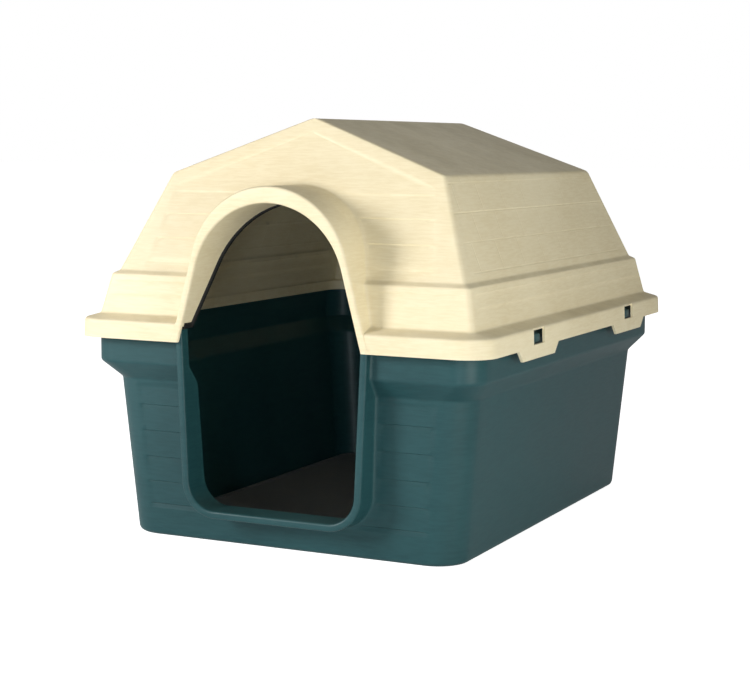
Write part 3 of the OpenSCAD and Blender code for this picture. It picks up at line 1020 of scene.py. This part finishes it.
class Effects:
    """Makes the shared node groups and keeps them."""

    def __init__(self) -> None:
        """Builds every group."""
        self.groups = {
            Group.GRAIN: self._grain(), Group.WEAR: self._wear(),
            Group.DUST: self._dust(), Group.SHAKES: self._shakes(),
        }

    @staticmethod
    def _start(name: Group, inputs: dict[str, Any], outputs: Sequence[str]) -> tuple[Any, Any]:
        """Makes an empty group with its sockets.

        Args:
            name: which group.
            inputs: name and default of each input; a triple makes a vector.
            outputs: names of the outputs, all plain values.

        Returns:
            The tree and its input node.
        """
        tree = bpy.data.node_groups.new(name.value, "ShaderNodeTree")
        for label, value in inputs.items():
            vector = isinstance(value, tuple)
            kind = "NodeSocketVector" if vector else "NodeSocketFloat"
            socket = tree.interface.new_socket(label, in_out="INPUT", socket_type=kind)
            if not vector:
                socket.default_value = value
        for label in outputs:
            tree.interface.new_socket(label, in_out="OUTPUT", socket_type="NodeSocketFloat")
        return tree, tree.nodes.new("NodeGroupInput")

    def _grain(self) -> Any:
        """Moulded wood grain: noise drawn out along the boards, with a fine pebble on it."""
        tree, given = self._start(
            Group.GRAIN, {"Vector": (0, 0, 0), "Stretch": (1, 1, 1), "Scale": 60.0, "Pebble": 0.3},
            ["Height", "Streaks"])
        drawn = put(tree, "ShaderNodeVectorMath",
                    {0: given.outputs["Vector"], 1: given.outputs["Stretch"]},
                    operation="MULTIPLY").outputs["Vector"]
        streaks = noise(tree, drawn, Scale=given.outputs["Scale"], Detail=5.0, Roughness=0.6,
                        Distortion=0.35)
        pebble = noise(tree, given.outputs["Vector"], Scale=900.0, Detail=2.0)
        fine = maths(tree, "MULTIPLY", pebble, given.outputs["Pebble"])
        put(tree, "NodeGroupOutput", {
            "Height": maths(tree, "ADD", streaks, fine),
            "Streaks": ramp(tree, streaks, 0.35, 0.65)})
        return tree

    def _wear(self) -> Any:
        """Wear on edges that stand out, broken up by noise."""
        tree, given = self._start(
            Group.WEAR, {"Vector": (0, 0, 0), "Reach": 0.02, "Amount": 0.6}, ["Mask", "Creases"])
        edge = tree.nodes.new("ShaderNodeNewGeometry").outputs["Pointiness"]
        high = maths(tree, "ADD", given.outputs["Reach"], 0.5)
        convex = put(tree, "ShaderNodeMapRange", {
            "Value": edge, "From Min": 0.505, "From Max": high}).outputs["Result"]
        creases = ramp(tree, edge, 0.44, 0.495, rise=False)
        broken = noise(tree, given.outputs["Vector"], Scale=55.0, Detail=6.0, Roughness=0.65)
        patchy = maths(tree, "MULTIPLY", convex, ramp(tree, broken, 0.35, 0.7))
        worn = maths(tree, "MULTIPLY", patchy, given.outputs["Amount"])
        put(tree, "NodeGroupOutput", {"Mask": worn, "Creases": creases})
        return tree

    def _dust(self) -> Any:
        """Dust that settles on surfaces that face up, in soft patches."""
        tree, given = self._start(
            Group.DUST, {"Vector": (0, 0, 0), "Scale": 9.0, "Amount": 0.3}, ["Mask"])
        up = facing(tree, "Z")
        patches = noise(tree, given.outputs["Vector"], Scale=given.outputs["Scale"], Detail=7.0,
                        Roughness=0.7)
        mask = maths(tree, "MULTIPLY", ramp(tree, up, 0.3, 0.95), ramp(tree, patches, 0.3, 0.75))
        mask = maths(tree, "MULTIPLY", mask, given.outputs["Amount"])
        put(tree, "NodeGroupOutput", {"Mask": mask})
        return tree

    def _shakes(self) -> Any:
        """Joints of staggered wooden shakes on the roof's sides, level with the courses."""
        tree, given = self._start(
            Group.SHAKES, {"Vector": (0, 0, 0), "Width": 0.085, "Height": 0.0405}, ["Joints"])
        place = put(tree, "ShaderNodeSeparateXYZ", {"Vector": given.outputs["Vector"]})
        flat = put(tree, "ShaderNodeCombineXYZ", {
            "X": place.outputs["Y"], "Y": maths(tree, "ADD", place.outputs["Z"], -0.0030)})
        bricks = put(tree, "ShaderNodeTexBrick", {
            "Vector": flat.outputs["Vector"], "Scale": 1.0, "Mortar Size": 0.0016,
            "Mortar Smooth": 0.7, "Brick Width": given.outputs["Width"],
            "Row Height": given.outputs["Height"]}, offset=0.43).outputs["Fac"]
        side = ramp(tree, maths(tree, "ABSOLUTE", facing(tree, "X")), 0.6, 0.8)
        behind = ramp(tree, place.outputs["Y"], -0.322, -0.316)
        low = maths(tree, "MULTIPLY", ramp(tree, place.outputs["Z"], 0.404, 0.408), behind)
        joints = maths(tree, "MULTIPLY", maths(tree, "MULTIPLY", bricks, side), low)
        put(tree, "NodeGroupOutput", {"Joints": joints})
        return tree

    def use(self, tree: Any, group: Group, vector: Any, **values: Any) -> Any:
        """Places a group in a material's tree.

        Args:
            tree: the material's tree.
            group: which group.
            vector: output that feeds its Vector.
            values: its other inputs, by name.

        Returns:
            The group's node.
        """
        node = tree.nodes.new("ShaderNodeGroup")
        node.node_tree = self.groups[group]
        return feed(tree, node, {"Vector": vector, **values})


@dataclass(frozen=True)
class Plastic:
    """Moulded outdoor plastic.

    Args:
        name: name of the material.
        base: its plain colour.
        pale: colour of lighter streaks and worn edges.
        deep: colour of darker streaks.
        soil: colour of dust and of dirt in creases.
        rough: its roughness.
        stretch: how the grain is drawn out in x, y and z.
        grain_mm: height of the grain.
        streaky: share of the pale colour in the grain's streaks.
        shakes: it has the shake joints on the roof's sides.
    """

    name: str
    base: tuple[float, ...]
    pale: tuple[float, ...]
    deep: tuple[float, ...]
    soil: tuple[float, ...]
    rough: float
    stretch: tuple[float, float, float]
    grain_mm: float
    streaky: float
    shakes: bool = False

    def make(self, effects: Effects) -> Any:
        """Builds the material's nodes."""
        material, tree, shader = blank_material(self.name)
        place = tree.nodes.new("ShaderNodeTexCoord").outputs["Object"]
        grain = effects.use(tree, Group.GRAIN, place, Stretch=self.stretch, Scale=38.0, Pebble=0.22)
        wear = effects.use(tree, Group.WEAR, place, Reach=0.06, Amount=0.45)
        dust = effects.use(tree, Group.DUST, place, Scale=7.0, Amount=0.35)
        cloud = noise(tree, place, Scale=5.0, Detail=4.0, Roughness=0.6)
        colour = mix(tree, ramp(tree, cloud, 0.3, 0.7), self.deep, self.base)
        streak = maths(tree, "MULTIPLY", grain.outputs["Streaks"], self.streaky)
        colour = mix(tree, streak, colour, self.pale)
        creases = maths(tree, "MULTIPLY", wear.outputs["Creases"], 0.4)
        colour = mix(tree, creases, colour, self.soil)
        colour = mix(tree, dust.outputs["Mask"], colour, self.soil)
        colour = mix(tree, wear.outputs["Mask"], colour, self.pale)
        patchy = maths(tree, "MULTIPLY", cloud, 0.16)
        rough = maths(tree, "ADD", patchy, self.rough - 0.08)
        rough = maths(tree, "ADD", rough, maths(tree, "MULTIPLY", dust.outputs["Mask"], 0.4))
        normal = bump(tree, grain.outputs["Height"], self.grain_mm, 0.8)
        if self.shakes:
            joints = effects.use(tree, Group.SHAKES, place)
            grooves = maths(tree, "MULTIPLY", joints.outputs["Joints"], -1.0)
            normal = bump(tree, grooves, SHAKE_MM, 0.8, Normal=normal)
        feed(tree, shader, {"Base Color": colour, "Roughness": rough, "Normal": normal,
                            "Specular IOR Level": 0.32})
        return material


@dataclass(frozen=True)
class Rubber:
    """Matt rubber with a pebbled surface and scuffs.

    Args:
        name: name of the material.
        base: its colour.
        scuff: colour where it is scuffed.
        soil: colour of the dust on it.
        pebble: pebbles in a metre.
        depth_mm: height of the pebbles.
        dusty: share of its top that dust covers.
    """

    name: str
    base: tuple[float, ...]
    scuff: tuple[float, ...]
    soil: tuple[float, ...]
    pebble: float
    depth_mm: float
    dusty: float

    def make(self, effects: Effects) -> Any:
        """Builds the material's nodes."""
        material, tree, shader = blank_material(self.name)
        place = tree.nodes.new("ShaderNodeTexCoord").outputs["Object"]
        cells = put(tree, "ShaderNodeTexVoronoi", {
            "Vector": place, "Scale": self.pebble}, feature="SMOOTH_F1").outputs["Distance"]
        dust = effects.use(tree, Group.DUST, place, Scale=11.0, Amount=self.dusty)
        wear = effects.use(tree, Group.WEAR, place, Reach=0.08, Amount=0.4)
        smear = noise(tree, place, Scale=14.0, Detail=8.0, Roughness=0.7, Distortion=0.8)
        colour = mix(tree, ramp(tree, smear, 0.5, 0.8), self.base, self.scuff)
        colour = mix(tree, dust.outputs["Mask"], colour, self.soil)
        colour = mix(tree, wear.outputs["Mask"], colour, self.scuff)
        rough = maths(tree, "ADD", maths(tree, "MULTIPLY", smear, 0.2), 0.62)
        normal = bump(tree, cells, self.depth_mm, 0.7)
        feed(tree, shader, {"Base Color": colour, "Roughness": rough, "IOR": 1.5,
                            "Normal": normal})
        return material


def blank_material(name: str) -> tuple[Any, Any, Any]:
    """Makes a material and returns it with its tree and its Principled BSDF."""
    material = bpy.data.materials.new(name)
    material.use_nodes = True
    tree = material.node_tree
    shader = next(n for n in tree.nodes if n.type == "BSDF_PRINCIPLED")
    return material, tree, shader


def shade(red: float, green: float, blue: float) -> tuple[float, float, float, float]:
    """Linear colour from the usual 0 to 255 display values: ((c + 0.055) / 1.055) ^ 2.4."""
    c = np.array([red, green, blue]) / 255.0
    linear = np.where(c <= 0.04045, c / 12.92, ((c + 0.055) / 1.055) ** 2.4)
    return (*(float(v) for v in linear), 1.0)


CREAM = Plastic(
    "cream_moulded_plastic", base=shade(238, 226, 190), pale=shade(247, 238, 208),
    deep=shade(229, 215, 176), soil=shade(178, 166, 136), rough=0.5,
    stretch=(1.0, 1.0, 9.0), grain_mm=0.14, streaky=0.35, shakes=True)
GREEN = Plastic(
    "green_moulded_plastic", base=shade(36, 76, 80), pale=shade(50, 94, 96),
    deep=shade(30, 68, 72), soil=shade(60, 82, 80), rough=0.4,
    stretch=(1.0, 1.0, 7.0), grain_mm=0.05, streaky=0.2)
# Painted shade: this very dark rubber on the doorway edging stands in for the band of shade round
# the inside of the doorway.
BLACK = Rubber(
    "black_edging_painted_shade", base=shade(9, 9, 10), scuff=shade(26, 26, 27),
    soil=shade(60, 58, 54), pebble=700.0, depth_mm=0.08, dusty=0.05)
GREY = Rubber(
    "grey_mat_rubber", base=shade(118, 123, 134), scuff=shade(132, 135, 142),
    soil=shade(124, 126, 130), pebble=330.0, depth_mm=0.5, dusty=0.3)


# ---------------------------------------------------------------- studio


@dataclass
class Lamp:
    """A soft rectangular light that faces the kennel.

    Args:
        name: name of the light.
        azimuth: where it stands, in degrees round from the doorway's side.
        elevation: how high it stands, in degrees.
        distance: how far off it stands, in metres.
        size: its width, in metres.
        power: its power, in watts.
        tint: its colour.
    """

    name: str
    azimuth: float
    elevation: float
    distance: float
    size: float
    power: float
    tint: tuple[float, float, float] = (1.0, 1.0, 1.0)

    def place(self, aim: Vector) -> None:
        """Puts the light in the scene, turned to a point."""
        light = bpy.data.lights.new(self.name, "AREA")
        light.energy, light.size, light.color = self.power, self.size, self.tint
        lamp = bpy.data.objects.new(self.name, light)
        a, e = math.radians(self.azimuth), math.radians(self.elevation)
        away = Vector((math.sin(a) * math.cos(e), -math.cos(a) * math.cos(e), math.sin(e)))
        lamp.location = aim + away * self.distance
        lamp.rotation_mode = "QUATERNION"
        lamp.rotation_quaternion = (-away).to_track_quat("-Z", "Y")
        bpy.context.scene.collection.objects.link(lamp)


@dataclass
class Studio:
    """Pale floor, soft light and the camera."""

    eye: tuple[float, float, float] = (1.1877, -2.4961, 0.5816)
    yaw: float = 26.02
    pitch: float = 6.67
    roll: float = 0.28
    lens: float = 82.8
    floor_half: float = 40.0
    lamps: tuple[Lamp, ...] = (
        Lamp("key", -40.0, 17.0, 3.2, 0.9, 71.0, (1.0, 0.97, 0.965)),
        Lamp("side", 58.0, 6.0, 2.1, 1.1, 17.0, (1.0, 0.99, 0.94)),
        Lamp("door", 20.0, 2.0, 2.9, 0.3, 8.5, (0.86, 0.92, 1.0)),
        Lamp("rear", 205.0, 12.0, 4.0, 2.0, 12.0),
    )

    def camera(self) -> None:
        """Makes the camera and gives it to the scene."""
        data = bpy.data.cameras.new("camera")
        data.lens, data.sensor_width = self.lens, 36.0
        data.clip_start, data.clip_end = 0.05, 200.0
        camera = bpy.data.objects.new("camera", data)
        yaw, pitch, roll = (math.radians(v) for v in (self.yaw, self.pitch, self.roll))
        ahead = Vector((-math.sin(yaw) * math.cos(pitch), math.cos(yaw) * math.cos(pitch),
                        -math.sin(pitch)))
        level = Vector((math.cos(yaw), math.sin(yaw), 0.0))
        up = level.cross(ahead)
        right = level * math.cos(roll) + up * math.sin(roll)
        up = up * math.cos(roll) - level * math.sin(roll)
        turn = Matrix((right, up, -ahead)).transposed()
        camera.matrix_world = Matrix.Translation(Vector(self.eye)) @ turn.to_4x4()
        bpy.context.scene.collection.objects.link(camera)
        bpy.context.scene.camera = camera

    def floor(self) -> None:
        """Makes the floor: one large flat square, pale and matt."""
        h = self.floor_half
        mesh = bpy.data.meshes.new("studio_floor")
        mesh.from_pydata([(-h, -h, 0), (h, -h, 0), (h, h, 0), (-h, h, 0)], [], [(0, 1, 2, 3)])
        floor = bpy.data.objects.new("studio_floor", mesh)
        bpy.context.scene.collection.objects.link(floor)
        material, tree, shader = blank_material("pale_floor")
        path = tree.nodes.new("ShaderNodeLightPath").outputs["Is Camera Ray"]
        glow = maths(tree, "ADD", maths(tree, "MULTIPLY", path, 0.78), 0.12)
        feed(tree, shader, {
            "Base Color": (0.86, 0.86, 0.86, 1.0), "Roughness": 0.9, "Specular IOR Level": 0.1,
            "Emission Color": (1.0, 1.0, 1.0, 1.0), "Emission Strength": glow})
        mesh.materials.append(material)

    def world(self) -> None:
        """Makes the surroundings: white to look at, dimmer as a light."""
        world = bpy.data.worlds.new("studio")
        bpy.context.scene.world = world
        world.use_nodes = True
        tree = world.node_tree
        tree.nodes.clear()
        seen = put(tree, "ShaderNodeBackground", {"Color": (1, 1, 1, 1), "Strength": 1.0})
        lit = put(tree, "ShaderNodeBackground", {"Color": (0.97, 0.98, 1, 1), "Strength": 0.2})
        path = tree.nodes.new("ShaderNodeLightPath")
        both = put(tree, "ShaderNodeMixShader", {
            0: path.outputs["Is Camera Ray"], 1: lit.outputs[0], 2: seen.outputs[0]})
        put(tree, "ShaderNodeOutputWorld", {"Surface": both.outputs[0]})

    def build(self, aim: Vector) -> None:
        """Makes everything that isn't the kennel.

        Args:
            aim: the point that the lights face.
        """
        self.camera()
        self.floor()
        self.world()
        for lamp in self.lamps:
            lamp.place(aim)
        bpy.context.scene.view_settings.view_transform = "Standard"


def main() -> None:
    """Builds the kennel round the CAD frame, then the studio round the kennel."""
    logging.basicConfig(level=logging.INFO, format="%(name)s: %(message)s")
    effects = Effects()
    cream, green, black, grey = (finish.make(effects) for finish in (CREAM, GREEN, BLACK, GREY))
    roof, base = Roof(), Base()
    Piece("roof_cover", roof.shell(), wall=roof.wall).build(
        Body.ROOF, Slot.CREAM, cream, "roof_shell")
    Piece("roof_lip", roof.lip()).build(Body.ROOF, Slot.CREAM, cream)
    # The doorway edging is a very dark strip set where the doorway has only shade: painted shade.
    Piece("doorway_edging_painted_shade", roof.edging()).build(
        Body.ROOF, Slot.BLACK, black, "door_edging")
    Piece("base_tray", base.shell(), wall=base.wall).build(
        Body.BASE, Slot.GREEN, green, "base_shell")
    Piece("base_catches", base.catches()).build(Body.BASE, Slot.GREEN, green)
    Piece("mat_sheet", Mat().shell()).build(Body.MAT, Slot.GREY, grey, "floor_mat")
    middle = sum(CAD_BOX, Vector()) / 2
    Studio().build(middle)


if __name__ == "__main__":
    main()
